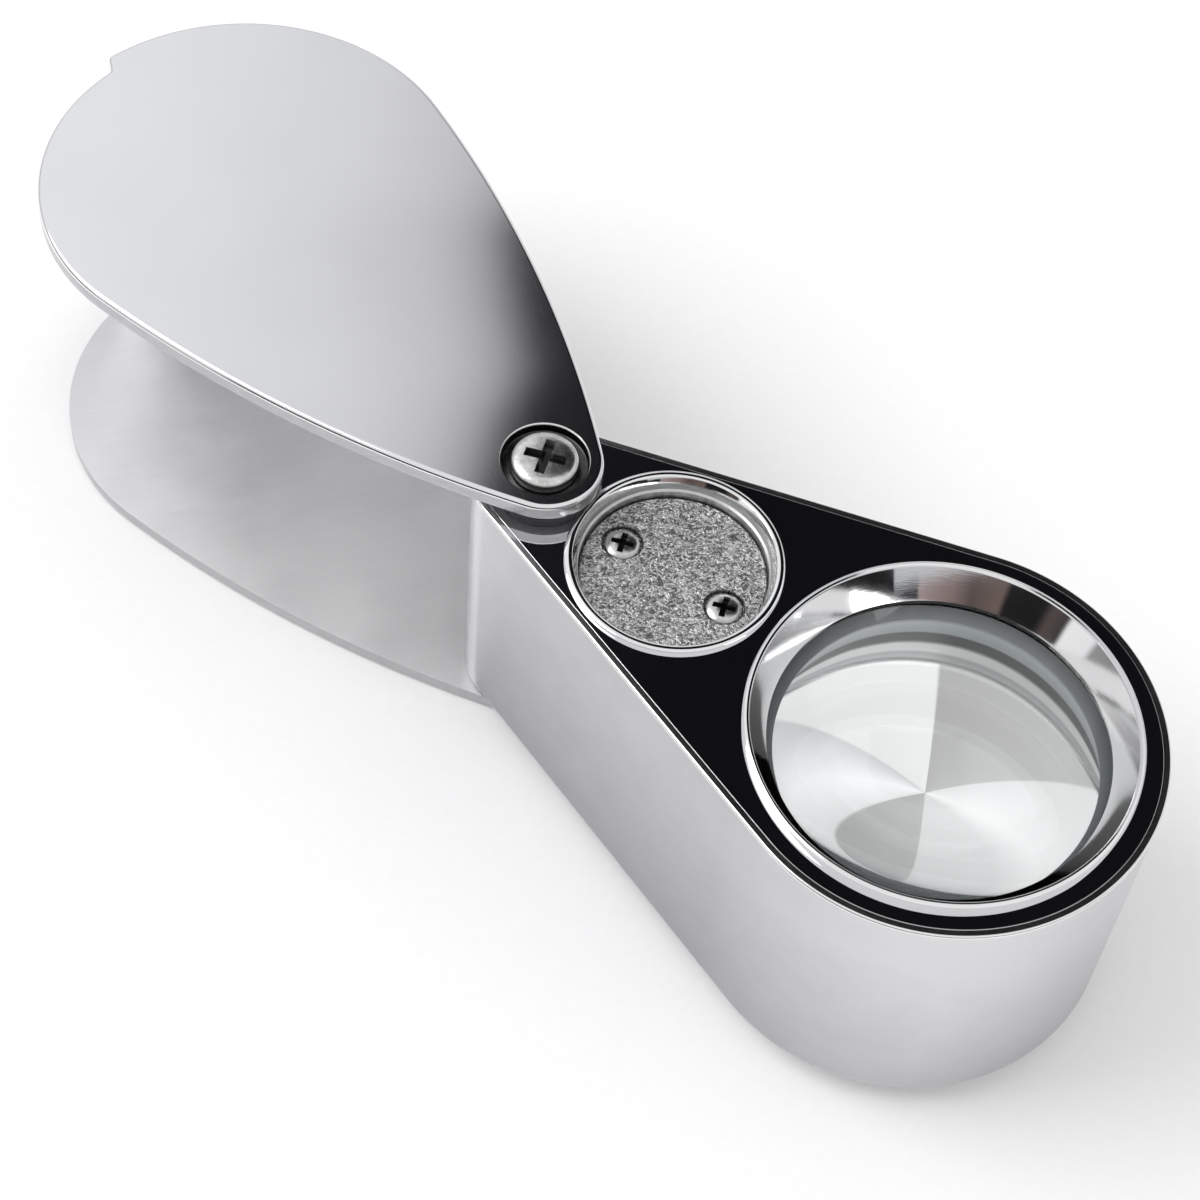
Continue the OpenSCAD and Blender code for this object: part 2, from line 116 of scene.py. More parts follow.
class Finish:
    """A material with its Object coordinates in millimetres and one Principled shader."""

    def __init__(self, name, **plain):
        self.material = bpy.data.materials.new(name)
        self.material.use_nodes = True
        self.tree = self.material.node_tree
        self.tree.nodes.clear()
        self.shader = self.tree.nodes.new("ShaderNodeBsdfPrincipled")
        output = self.tree.nodes.new("ShaderNodeOutputMaterial")
        self.tree.links.new(self.shader.outputs[0], output.inputs[0])
        place = self.node("ShaderNodeTexCoord", out="Object")
        self.place = self.node("ShaderNodeVectorMath", {"operation": "SCALE"}, {0: place, "Scale": 1000.0})
        for key, value in plain.items():
            self.shader.inputs[key.replace("_", " ")].default_value = value

    def node(self, kind, settings=None, sockets=None, out=0):
        return add_node(self.tree, kind, settings, sockets, out)

    def moved(self, centre=(0, 0, 0), turn=(0, 0, 0), scale=(1, 1, 1)):
        shifted = self.node("ShaderNodeVectorMath", {"operation": "SUBTRACT"}, {0: self.place, 1: centre})
        turned = self.node("ShaderNodeVectorRotate", {"rotation_type": "EULER_XYZ"},
                           {"Vector": shifted, "Rotation": turn})
        return self.node("ShaderNodeVectorMath", {"operation": "MULTIPLY"}, {0: turned, 1: scale})

    def noise(self, size, detail=3.0, rough=0.5, at=None, twist=0.0):
        return self.node("ShaderNodeTexNoise", {}, {"Vector": at or self.place, "Scale": 1.0 / size,
                         "Detail": detail, "Roughness": rough, "Distortion": twist})

    def mix(self, share, low, high):
        node = self.tree.nodes.new("ShaderNodeMix")
        node.data_type = "RGBA"
        for key, value in ((0, share), (6, low), (7, high)):
            if isinstance(value, Wire):
                self.tree.links.new(value.socket, node.inputs[key])
            else:
                node.inputs[key].default_value = (*value, 1.0) if key else value
        return Wire(self.tree, node.outputs[2])

    def feed(self, **varying):
        for key, value in varying.items():
            self.tree.links.new(value.socket, self.shader.inputs[key.replace("_", " ")])

    def bump(self, height, depth, strength=1.0):
        node = self.tree.nodes.new("ShaderNodeBump")
        node.inputs["Strength"].default_value = strength
        node.inputs["Distance"].default_value = depth * MM
        self.tree.links.new(height.socket, node.inputs["Height"])
        self.tree.links.new(node.outputs[0], self.shader.inputs["Normal"])


# Studio. A wide pale floor, an even white room, and a big dark card high up behind the loupe,
# which the flat polished faces mirror. A soft lamp from the left gives the shadows, and a weaker
# one fills them from the right.
FLOOR_REACH, UNDER_THE_FEET = 3.0, -0.00005


def sheet_at(name, start, across, up):
    """A flat sheet that runs from its start corner along two sides. Metres."""
    bpy.ops.mesh.primitive_plane_add(size=1.0, location=(0, 0, 0))
    made = bpy.context.object
    made.name = name
    start, across, up = Vector(start), Vector(across), Vector(up)
    for vertex, corner in zip(made.data.vertices, (start, start + across, start + up, start + across + up)):
        vertex.co = corner
    made.data.update()
    return made


floor = sheet_at("floor", (-FLOOR_REACH, -FLOOR_REACH, UNDER_THE_FEET),
                 (2 * FLOOR_REACH, 0, 0), (0, 2 * FLOOR_REACH, 0))
paper = Finish("floor_paper", Roughness=0.75)
tooth = paper.noise(0.9, 6.0, 0.6)
paper.feed(Base_Color=paper.mix(tooth, (0.86, 0.86, 0.87), (0.9, 0.9, 0.9)))
paper.bump(tooth, 0.02, 0.2)
floor.data.materials.append(paper.material)

FACE_HEIGHT = 26.1
mirrored_eye = Vector((eye.x, eye.y, 2 * FACE_HEIGHT - eye.z)) * MM


def seen_in_face(across, down, far=0.9):
    """The point that a flat polished face shows at a place in the camera's frame, -0.5 to 0.5."""
    ray = sight @ Vector((across * SENSOR_WIDTH / FOCAL_LENGTH, -down * SENSOR_WIDTH / FOCAL_LENGTH, -1.0))
    return mirrored_eye + Vector((ray.x, ray.y, -ray.z)) * far


def light_up(card, stops, scale, detail, stray):
    """Gives a card its own light, in tones that run along it and stray a little with a noise."""
    look = bpy.data.materials.new(card.name)
    look.use_nodes = True
    tree = look.node_tree
    tree.nodes.clear()
    uv = add_node(tree, "ShaderNodeTexCoord", out="UV")
    along = uv.parts()[0]
    noise = add_node(tree, "ShaderNodeTexNoise", {}, {"Vector": uv, "Scale": scale, "Detail": detail})
    ramp = add_node(tree, "ShaderNodeValToRGB", {"stops": stops}, {0: along + stray(along, noise - 0.5)})
    glow = add_node(tree, "ShaderNodeEmission", {}, {"Color": ramp, "Strength": 1.0})
    output = tree.nodes.new("ShaderNodeOutputMaterial")
    tree.links.new(glow.socket, output.inputs[0])
    card.data.materials.append(look)
    card.visible_shadow = card.visible_diffuse = card.visible_camera = False


# Where the dark begins, as (across, down) places in the frame, from the top to the bottom. The
# card goes on past the frame at its left and right.
dark_edge = [(0.02, -0.75), (-0.01, -0.42), (-0.033, -0.34), (-0.066, -0.30), (-0.060, -0.242),
             (-0.047, -0.183), (-0.070, -0.142), (-0.092, -0.071), (-0.108, 0.0), (-0.15, 0.7)]
CARD_LEFT, CARD_RIGHT = -0.75, 1.3
rows = len(dark_edge)
bpy.ops.mesh.primitive_grid_add(x_subdivisions=2, y_subdivisions=rows - 1, size=1.0, location=(0, 0, 0))
dark_card = bpy.context.object
dark_card.name = "dark_card"
for vertex in dark_card.data.vertices:
    row = round((vertex.co.y + 0.5) * (rows - 1))
    column = round((vertex.co.x + 0.5) * 2)
    across, down = dark_edge[row]
    vertex.co = seen_in_face((CARD_LEFT, across, CARD_RIGHT)[column], down)
dark_card.data.update()
light_up(dark_card,
         [(0.0, (0.95, 0.96, 0.98)), (0.25, (0.88, 0.89, 0.91)), (0.38, (0.76, 0.765, 0.79)),
          (0.445, (0.62, 0.62, 0.64)), (0.474, (0.45, 0.445, 0.455)), (0.492, (0.13, 0.125, 0.13)),
          (0.502, (0.012, 0.012, 0.014)), (0.56, (0.006, 0.006, 0.007)), (1.0, (0.006, 0.006, 0.007))],
         2.2, 1.0, lambda along, noise: noise * 0.12 * (0.5 - along).clamp() * 2.0)


def low_card_of(name, start, across, up, stops):
    """Low cards on the camera's side and to the right, which the sloping rings mirror."""
    light_up(sheet_at(name, start, across, up), stops, 9.0, 3.0, lambda along, noise: noise * 0.015)


NIGHT = (0.012, 0.012, 0.013)
CARD_START, CARD_WIDTH, CARD_NEAR = -1.3, 2.6, -0.6
low_card_of("low_card", (CARD_START, CARD_NEAR, -0.02), (CARD_WIDTH, 0, 0), (0, 0, 0.175),
            [(0.0, (0.2, 0.2, 0.2)), (0.31, (0.3, 0.3, 0.3)), (0.33, (0.85, 0.85, 0.86)),
             (0.405, (0.9, 0.9, 0.9)), (0.415, (0.05, 0.045, 0.043)), (0.45, (0.09, 0.072, 0.066)),
             (0.47, NIGHT), (0.545, NIGHT), (0.555, (0.15, 0.11, 0.1)), (0.62, (0.1, 0.075, 0.068)),
             (0.67, (0.22, 0.165, 0.155)), (0.80, (0.34, 0.27, 0.26)), (0.81, NIGHT), (1.0, NIGHT)])
low_card_of("foot_card", (CARD_START, CARD_NEAR, 0.001), (CARD_WIDTH, 0, 0), (0, 0.515, 0),
            [(0.0, (0.5, 0.5, 0.5)), (0.40, (0.6, 0.6, 0.6)), (0.43, (0.12, 0.12, 0.12)),
             (0.5, NIGHT), (1.0, NIGHT)])
low_card_of("right_card", (1.25, CARD_NEAR, -0.02), (0, 1.2, 0), (0, 0, 0.22),
            [(0.0, NIGHT), (0.74, NIGHT), (0.78, (0.4, 0.4, 0.41)), (1.0, (0.7, 0.7, 0.71))])

bpy.context.scene.view_settings.view_transform = "Standard"
world = bpy.data.worlds.new("room")
bpy.context.scene.world = world
world.use_nodes = True
tree = world.node_tree
tree.nodes.clear()
height = add_node(tree, "ShaderNodeTexCoord", out="Generated").parts()[2]
room = add_node(tree, "ShaderNodeValToRGB",
                {"stops": [(0.0, (0.72, 0.72, 0.74)), (0.48, (0.3, 0.3, 0.32)), (0.56, (0.62, 0.63, 0.65)),
                           (0.8, (1.0, 1.0, 1.0)), (1.0, (0.95, 0.95, 0.95))]},
                {0: height * 0.5 + 0.5})
sky = add_node(tree, "ShaderNodeBackground", {}, {"Color": room, "Strength": 0.9})
output = tree.nodes.new("ShaderNodeOutputWorld")
tree.links.new(sky.socket, output.inputs[0])


def soft_lamp(name, place, aim, size, power):
    data = bpy.data.lights.new(name, "AREA")
    data.shape, data.size, data.size_y, data.energy = "RECTANGLE", size[0], size[1], power
    lamp = bpy.data.objects.new(name, data)
    bpy.context.scene.collection.objects.link(lamp)
    way = Vector(aim) - Vector(place)
    lamp.matrix_world = Matrix.Translation(place) @ way.to_track_quat("-Z", "Y").to_matrix().to_4x4()
    return lamp


key_lamp = soft_lamp("key", (-0.45, -0.25, 0.6), (0, 0, 0.01), (0.5, 0.5), 3.0)
key_lamp.visible_transmission = False
side_lamp = soft_lamp("side", (0.6, -0.3, 0.25), (0.02, 0, 0.01), (0.3, 0.4), 1.0)
side_lamp.visible_glossy = False


# Case. One strip of sheet metal folded into two teardrop plates and a web round one side, polished
# outside, brushed inside and darker on its sheared rims; the brushed inside carries painted shade,
# darker towards the wide end. The web's side stands a little wider. A cup in the top plate, its
# inside painted near black as shade, takes the screw's head, and a hole in the lower one the post's foot.
LENS_X = 34.65
PLATE = 1.4
CASE_TOP = 28.5
CASE_TURN = math.radians(168.6)
NARROW_END, WIDE_END = 4.3, 15.65
SIDE_BOW = 104.0
WEB_OUT, WEB_THICK = 1.3, 0.8
WEB_STARTS = 16.0
CUP_RADIUS, CUP_DEPTH = 3.2, 0.8
CUP_FLOOR = CASE_TOP - CUP_DEPTH
SCREW_HOLE, FOOT_HOLE, FOOT_DEPTH, POST_HOLE = 1.3, 3.05, 0.7, 2.2
NEAR = 0.01


def pick(*objects):
    """Selects these objects and no others; the first becomes the active one."""
    bpy.ops.object.select_all(action="DESELECT")
    for one in objects:
        one.select_set(True)
    bpy.context.view_layer.objects.active = objects[0]


def pen(name, x, y, z):
    """A new object of one point, ready to be drawn out into an outline. Millimetres."""
    bpy.ops.mesh.primitive_plane_add(size=MM, location=(0, 0, 0))
    made = bpy.context.object
    made.name = made.data.name = name
    bpy.ops.object.mode_set(mode="EDIT")
    bpy.ops.mesh.select_mode(type="VERT")
    bpy.ops.mesh.select_all(action="SELECT")
    bpy.ops.mesh.merge(type="CENTER")
    bpy.ops.transform.translate(value=(x * MM, y * MM, z * MM))
    made["x"], made["y"], made["z"] = x, y, z
    return made

def line_to(made, x, y, z=None):
    z = made["z"] if z is None else z
    step = (Vector((x, y, z)) - Vector((made["x"], made["y"], made["z"]))) * MM
    bpy.ops.mesh.extrude_vertices_move(TRANSFORM_OT_translate={"value": step})
    made["x"], made["y"], made["z"] = x, y, z


def arc_about(made, x, y, angle, steps):
    """Draws on round a centre, anticlockwise for a positive angle in radians."""
    bpy.ops.mesh.spin(steps=steps, angle=-angle, center=(x * MM, y * MM, made["z"] * MM), axis=(0, 0, 1))
    dx, dy = made["x"] - x, made["y"] - y
    made["x"] = x + dx * math.cos(angle) - dy * math.sin(angle)
    made["y"] = y + dx * math.sin(angle) + dy * math.cos(angle)


def raise_outline(made, height):
    """Closes the outline, fills it and draws it up into a solid."""
    bpy.ops.mesh.select_all(action="SELECT")
    bpy.ops.mesh.remove_doubles(threshold=0.002 * MM)
    bpy.ops.mesh.edge_face_add()
    bpy.ops.mesh.extrude_region_move(TRANSFORM_OT_translate={"value": (0, 0, height * MM)})
    bpy.ops.mesh.select_all(action="SELECT")
    bpy.ops.mesh.normals_make_consistent(inside=False)
    bpy.ops.object.mode_set(mode="OBJECT")
    return made


def close_loop(made):
    """Joins the last point to the first, for outlines that don't end where they began."""
    bpy.ops.object.mode_set(mode="OBJECT")
    edges_there = [0] * len(made.data.vertices)
    for edge in made.data.edges:
        for i in edge.vertices:
            edges_there[i] += 1
    for vertex in made.data.vertices:
        vertex.select = edges_there[vertex.index] == 1
    bpy.ops.object.mode_set(mode="EDIT")
    bpy.ops.mesh.select_mode(type="VERT")
    bpy.ops.mesh.edge_face_add()


def round_edges(made, chosen, width, segments):
    """Bevels the edges whose two ends pass the test."""
    pick(made)
    bpy.ops.object.mode_set(mode="EDIT")
    bpy.ops.mesh.select_mode(type="EDGE")
    bpy.ops.mesh.select_all(action="DESELECT")
    bpy.ops.object.mode_set(mode="OBJECT")
    points = [vertex.co / MM for vertex in made.data.vertices]
    for edge in made.data.edges:
        edge.select = bool(chosen(points[edge.vertices[0]], points[edge.vertices[1]]))
    bpy.ops.object.mode_set(mode="EDIT")
    bpy.ops.mesh.bevel(offset=width * MM, segments=segments, profile=0.5, affect="EDGES", clamp_overlap=True)
    bpy.ops.object.mode_set(mode="OBJECT")


def edges_at(height):
    """A test for the edges that lie level at a height."""
    return lambda a, b: abs(a.z - height) < NEAR and abs(b.z - height) < NEAR


def cut_away(made, *cutters):
    for cutter in cutters:
        modifier = made.modifiers.new("cut", "BOOLEAN")
        modifier.operation, modifier.solver, modifier.object = "DIFFERENCE", "EXACT", cutter
        pick(made)
        bpy.ops.object.modifier_apply(modifier=modifier.name)
        bpy.data.objects.remove(cutter)


def turned(name, x, profile, steps=128):
    """A piece turned on a lathe: a closed profile of (radius, height) spun about an upright axis."""
    first = profile[0]
    made = pen(name, x + first[0], 0, first[1])
    for radius, height in profile[1:]:
        line_to(made, x + radius, 0, height)
    on_axis = first[0] < 1e-6 and profile[-1][0] < 1e-6
    if not on_axis:
        close_loop(made)
        bpy.ops.mesh.select_mode(type="EDGE")
        bpy.ops.mesh.select_all(action="SELECT")
        bpy.ops.mesh.delete(type="ONLY_FACE")
    bpy.ops.mesh.select_all(action="SELECT")
    bpy.ops.mesh.spin(steps=steps, angle=2 * math.pi, center=(x * MM, 0, 0), axis=(0, 0, 1))
    bpy.ops.mesh.select_all(action="SELECT")
    bpy.ops.mesh.remove_doubles(threshold=0.0005 * MM)
    bpy.ops.mesh.dissolve_degenerate(threshold=0.0001 * MM)
    bpy.ops.mesh.select_all(action="SELECT")
    bpy.ops.mesh.normals_make_consistent(inside=False)
    bpy.ops.object.mode_set(mode="OBJECT")
    return made


def drill(name, x, radius, low, high, steps):
    """The cutter for a plain round hole between two heights."""
    return turned(name, x, [(0, low), (radius, low), (radius, high), (0, high)], steps)


def smooth(made, degrees):
    pick(made)
    bpy.ops.object.shade_smooth_by_angle(angle=math.radians(degrees))
    weigh = made.modifiers.new("flats_stay_flat", "WEIGHTED_NORMAL")
    weigh.weight, weigh.keep_sharp = 100, True
    bpy.ops.object.modifier_apply(modifier=weigh.name)


def goes_on(made, body, slot, node, *finishes):
    made.data.materials.clear()
    for finish in finishes:
        made.data.materials.append(finish.material)
    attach(made, body)
    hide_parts(node)


def side_arc(wide):
    """Centre of the bowed side that is tangent to both ends, and where it meets them."""
    near, far = SIDE_BOW - NARROW_END, SIDE_BOW - wide
    x = (near ** 2 - far ** 2 + LENS_X ** 2) / (2 * LENS_X)
    y = math.sqrt(near ** 2 - x ** 2)
    return x, y, math.atan2(y, -x), math.atan2(y, LENS_X - x)


FREE_X, FREE_Y, FREE_NEAR, FREE_FAR = side_arc(WIDE_END)
WEB_X, WEB_Y, WEB_NEAR, WEB_FAR = side_arc(WIDE_END + WEB_OUT)
NOTCH, NOTCH_STEPS = 0.07, 8


def case_sheet(name):
    """Outline of the folded case from above; the web's side stands out by a notch at the tip."""
    made = pen(name, LENS_X + WIDE_END * math.cos(NOTCH), WIDE_END * math.sin(NOTCH), 0)
    arc_about(made, LENS_X, 0, FREE_FAR - NOTCH, 64)
    arc_about(made, FREE_X, -FREE_Y, FREE_NEAR - FREE_FAR, 24)
    arc_about(made, 0, 0, 2 * math.pi - FREE_NEAR - WEB_NEAR, 40)
    arc_about(made, WEB_X, WEB_Y, WEB_NEAR - WEB_FAR, 24)
    arc_about(made, LENS_X, 0, WEB_FAR, 64)
    for i in range(1, NOTCH_STEPS):
        share = i / NOTCH_STEPS
        angle = NOTCH * share
        reach = WIDE_END + WEB_OUT * (1 - share * share * (3 - 2 * share))
        line_to(made, LENS_X + reach * math.cos(angle), reach * math.sin(angle))
    close_loop(made)
    return made


case = case_sheet("case_sheet_metal")
raise_outline(case, CASE_TOP)
round_edges(case, lambda a, b: abs(a.z - b.z) < NEAR, 0.5, 4)
room_inside = pen("room_inside", LENS_X + WIDE_END + WEB_OUT - WEB_THICK, 0, PLATE)
for corner in ((70, 0), (70, 40), (-20, 40), (-20, -40), (WEB_STARTS, -40)):
    line_to(room_inside, *corner)
web_inside = SIDE_BOW - WEB_THICK
angle = -math.acos((WEB_STARTS - WEB_X) / web_inside)
line_to(room_inside, WEB_STARTS, WEB_Y + web_inside * math.sin(angle))
arc_about(room_inside, WEB_X, WEB_Y, -WEB_FAR - angle, 16)
arc_about(room_inside, LENS_X, 0, WEB_FAR, 64)
raise_outline(room_inside, CASE_TOP - 2 * PLATE)
cut_away(case, room_inside)


def on_free_rim(a, b):
    """A test for the level edges of the plates' inner faces, away from the web."""
    inner = min(abs(a.z - PLATE), abs(a.z - CASE_TOP + PLATE)) < NEAR
    clear = all(end.y >= 0.5 or end.x <= WEB_STARTS - 0.05 for end in (a, b))
    return inner and abs(a.z - b.z) < NEAR and clear


round_edges(case, on_free_rim, 0.35, 3)
cup = turned("cup_cutter", 0, [
    (0, CUP_FLOOR), (CUP_RADIUS - 0.25, CUP_FLOOR), (CUP_RADIUS - 0.07, CUP_FLOOR + 0.07),
    (CUP_RADIUS, CUP_FLOOR + 0.25), (CUP_RADIUS, CASE_TOP - 0.16), (CUP_RADIUS + 0.04, CASE_TOP - 0.06),
    (CUP_RADIUS + 0.12, CASE_TOP + 0.01), (CUP_RADIUS + 0.12, CASE_TOP + 1), (0, CASE_TOP + 1)], 96)
hole = drill("hole_cutter", 0, SCREW_HOLE, 20, 29, 48)
foot = turned("foot_cutter", 0, [
    (0, -1), (FOOT_HOLE, -1), (FOOT_HOLE, 0.02), (FOOT_HOLE - 0.05, 0.08), (FOOT_HOLE - 0.05, FOOT_DEPTH),
    (POST_HOLE, FOOT_DEPTH), (POST_HOLE, 5), (0, 5)], 96)
cut_away(case, cup, hole, foot)
pick(case)
case.rotation_euler = (0, 0, CASE_TURN)
bpy.ops.object.transform_apply(location=True, rotation=True, scale=True)
smooth(case, 32)

polished = Finish("polished_case", Metallic=1.0, IOR=1.5)
smear = polished.noise(9.0, 4.0, 0.55)
specks = polished.noise(0.12, 2.0, 0.7, at=polished.moved(turn=(0, 0, 0.5), scale=(0.05, 1, 1)))
polished.feed(Base_Color=polished.mix(smear, (0.80, 0.80, 0.815), (0.87, 0.87, 0.875)),
              Roughness=(smear * 0.05 + specks.between(0.62, 0.85) * 0.04 + 0.045))
polished.bump(polished.noise(14.0, 2.0) + specks * 0.05, 0.006, 0.3)

brushed = Finish("brushed_inside", Metallic=1.0, IOR=1.5)
hair = brushed.noise(0.16, 3.0, 0.6, at=brushed.moved(turn=(0, 0, math.radians(-52)), scale=(0.03, 1, 1)))
cloud = brushed.noise(7.0, 3.0, 0.5)
# Painted shade: the inside is painted darker towards the wide end of the case, with grain and random tone
# over it.
painted_shade_and_grain = (brushed.place.parts()[0].between(-52.0, -22.0) * 0.8 + (hair - 0.5) * 0.3 + (cloud - 0.5) * 0.5)
brushed.feed(Base_Color=brushed.mix(painted_shade_and_grain.clamp(), (0.7, 0.7, 0.715), (0.99, 0.99, 0.99)),
             Roughness=hair * 0.16 + cloud * 0.12 + 0.3)
brushed.bump(hair, 0.012, 0.5)

# Painted shade: the cup's wall and floor are painted near black round the screw's head.
cup_shade = Finish("cup_painted_shade", Metallic=1.0, IOR=1.5)
cup_mottle = cup_shade.noise(0.4, 4.0, 0.6)
cup_shade.feed(Base_Color=cup_shade.mix(cup_mottle, (0.03, 0.03, 0.032), (0.1, 0.1, 0.1)), Roughness=cup_mottle * 0.2 + 0.2)
cup_shade.bump(cup_mottle, 0.01, 0.3)

rim = Finish("sheared_rim", Metallic=1.0, IOR=1.5)
drag = rim.noise(0.5, 4.0, 0.6, at=rim.moved(scale=(0.4, 0.4, 3.0)))
rim.feed(Base_Color=rim.mix(drag, (0.34, 0.34, 0.35), (0.6, 0.6, 0.61)), Roughness=drag * 0.15 + 0.14)
rim.bump(drag, 0.01, 0.3)

goes_on(case, "case", "polished_case", "case_shell", polished, brushed, cup_shade, rim)
BRUSHED_SLOT, CUP_SLOT, RIM_SLOT = 1, 2, 3
for face in case.data.polygons:
    middle = face.center / MM
    from_pivot = middle.xy.length
    flat = abs(face.normal.z) > 0.9
    in_lower = middle.z < PLATE - 0.3
    in_upper = CASE_TOP - PLATE < middle.z < CASE_TOP - 0.45
    if flat and PLATE - 0.02 < middle.z < CASE_TOP - PLATE + 0.02:
        face.material_index = BRUSHED_SLOT
    if not flat and (in_lower or in_upper) and from_pivot > NARROW_END - 0.5:
        face.material_index = RIM_SLOT
    if from_pivot < CUP_RADIUS + 0.01 and CUP_FLOOR - 0.01 < middle.z < CASE_TOP - 0.17:
        face.material_index = CUP_SLOT


# Pivot. A flat-footed post pressed in the lower plate, held by a pan-head screw from above whose
# cross is painted dark as shade. Black nylon washers part the plates from the housing, and the bushes,
# the switch's cam and the battery's contacts are brass.
SCREW_SHANK, SCREW_HEAD, HEAD_RISE = 1.2, 2.5, 1.2


def cross_cutter(x, width, arm, top, depth):
    """Two crossed blades that narrow to the bottom, for the cross in a screw's head."""
    blades = []
    for turn in (0.0, math.pi / 2):
        bpy.ops.mesh.primitive_cube_add(size=1.0, location=(x * MM, 0, (top - depth / 2 + 0.5) * MM))
        blade = bpy.context.object
        blade.scale = (width * MM, arm * MM, (depth + 1.0) * MM)
        blade.rotation_euler = (0, 0, turn + 0.35)
        bpy.ops.object.transform_apply(location=True, rotation=True, scale=True)
        bpy.ops.object.mode_set(mode="EDIT")
        bpy.ops.mesh.select_all(action="DESELECT")
        bpy.ops.object.mode_set(mode="OBJECT")
        for vertex in blade.data.vertices:
            vertex.select = vertex.co.z < (top - depth / 2) * MM
        bpy.ops.object.mode_set(mode="EDIT")
        bpy.ops.transform.resize(value=(0.8, 0.8, 1.0), center_override=(x * MM, 0, 0))
        bpy.ops.object.mode_set(mode="OBJECT")
        blades.append(blade)
    return blades


def dress(finish, *nodes):
    for name in nodes:
        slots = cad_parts[name].data.materials
        slots.clear()
        slots.append(finish.material)


screw = turned("pivot_screw_head", 0, [
    (0, 22.1), (1.0, 22.1), (SCREW_SHANK, 22.3), (SCREW_SHANK, CUP_FLOOR), (SCREW_HEAD - 0.15, CUP_FLOOR),
    (SCREW_HEAD, CUP_FLOOR + 0.12), (SCREW_HEAD, CUP_FLOOR + 0.62), (2.46, CUP_FLOOR + 0.78),
    (2.33, CUP_FLOOR + 0.93), (2.12, CUP_FLOOR + 1.04), (1.8, CUP_FLOOR + 1.11), (1.2, CUP_FLOOR + 1.17),
    (0.6, CUP_FLOOR + HEAD_RISE), (0, CUP_FLOOR + HEAD_RISE)], 96)
cut_away(screw, *cross_cutter(0, 3.5, 0.85, CUP_FLOOR + HEAD_RISE, 0.8))
smooth(screw, 30)
steel = Finish("screw_steel", Metallic=1.0)
grime = steel.noise(0.7, 5.0, 0.65)
turning = steel.noise(0.1, 2.0, 0.6)
head_x, head_y, head_z = steel.place.parts()
deep = 1.0 - head_z.between(CUP_FLOOR + 0.5, CUP_FLOOR + 1.0)
from_middle = (head_x * head_x + head_y * head_y).math("SQRT")
# Painted shade: the cross and the lower part of the head are painted near black.
shade_in_cross = deep * (1.0 - from_middle.between(1.85, 2.0))
clean = steel.mix(grime.between(0.25, 0.7), (0.5, 0.495, 0.485), (0.8, 0.795, 0.785))
steel.feed(Base_Color=steel.mix(shade_in_cross, clean, (0.09, 0.088, 0.085)), Roughness=grime * 0.2 + 0.12)
steel.bump(grime * 0.6 + turning * 0.4, 0.03, 0.5)
goes_on(screw, "case", "screw_steel", "pivot_screw", steel)
dress(steel, "pivot_post")

nylon = Finish("nylon", Roughness=0.45, IOR=1.5)
grain = nylon.noise(0.5, 4.0, 0.6)
nylon.feed(Base_Color=nylon.mix(grain, (0.02, 0.02, 0.022), (0.05, 0.05, 0.052)))
nylon.bump(grain, 0.02, 0.3)
dress(nylon, "washer_top", "washer_bottom")

brass = Finish("spring_brass", Metallic=1.0)
tarnish = brass.noise(1.5, 5.0, 0.6)
brass.feed(Base_Color=brass.mix(tarnish, (0.62, 0.42, 0.16), (0.85, 0.66, 0.34)),
           Roughness=tarnish * 0.25 + 0.2)
brass.bump(tarnish, 0.01, 0.3)
dress(brass, "switch_cam", "bush_top", "bush_bottom",
      "battery_spring", "battery_contact", "contact_strip", "switch_leaf")


# Housing. A zinc casting with a floor, a rim round the face plate and a boss for the pivot. Its
# sides are satin plated, with painted light that makes them lighter towards the top and the lens end,
# and its rim is polished bright.
BODY_LOW, BODY_TOP = 2.1, FACE_HEIGHT
BODY_NARROW, BODY_WIDE = 5.2, 15.9
BODY_WALL, RIM = 1.2, 0.5
FLOOR_TOP, INLAY = 3.6, 25.1
BORE, VIEW_HOLE = 3.0, 10.0
lean = math.acos((BODY_NARROW - BODY_WIDE) / LENS_X)


def teardrop(name, grow, z, height, hollow_end=False):
    """A teardrop slab; a hollow end leaves the boss round the pivot standing."""
    near, far = BODY_NARROW + grow, BODY_WIDE + grow
    made = pen(name, near * math.cos(lean), -near * math.sin(lean), z)
    line_to(made, LENS_X + far * math.cos(lean), -far * math.sin(lean))
    arc_about(made, LENS_X, 0, 2 * lean, 120)
    line_to(made, near * math.cos(lean), near * math.sin(lean))
    if hollow_end:
        arc_about(made, 0, 0, -2 * lean, 64)
    else:
        arc_about(made, 0, 0, 2 * math.pi - 2 * lean, 48)
    return raise_outline(made, height)


housing = teardrop("housing_casting", 0, BODY_LOW, BODY_TOP - BODY_LOW)
round_edges(housing, edges_at(BODY_LOW), 0.55, 4)
round_edges(housing, edges_at(BODY_TOP), 0.18, 3)
cut_away(housing,
         teardrop("hollow_cutter", -BODY_WALL, FLOOR_TOP, INLAY - FLOOR_TOP + 0.2, True),
         teardrop("inlay_cutter", -RIM, INLAY, 5.0),
         drill("bore_cutter", 0, BORE, -1, 30, 64),
         turned("view_cutter", LENS_X, [
             (0, -1), (VIEW_HOLE + 0.5, -1), (VIEW_HOLE + 0.5, BODY_LOW), (VIEW_HOLE + 0.15, BODY_LOW + 0.15),
             (VIEW_HOLE, BODY_LOW + 0.5), (VIEW_HOLE, 5.0), (0, 5.0)], 96))
smooth(housing, 32)
satin = Finish("satin_housing", Metallic=1.0)
body_x, _, body_z = satin.place.parts()
mottle = satin.noise(3.2, 5.0, 0.6)
pits = satin.noise(0.22, 3.0, 0.65)
rim_line = body_z.between(BODY_TOP - 0.32, BODY_TOP - 0.12)
foot_wear = 1.0 - body_z.between(BODY_LOW + 0.2, BODY_LOW + 0.7)
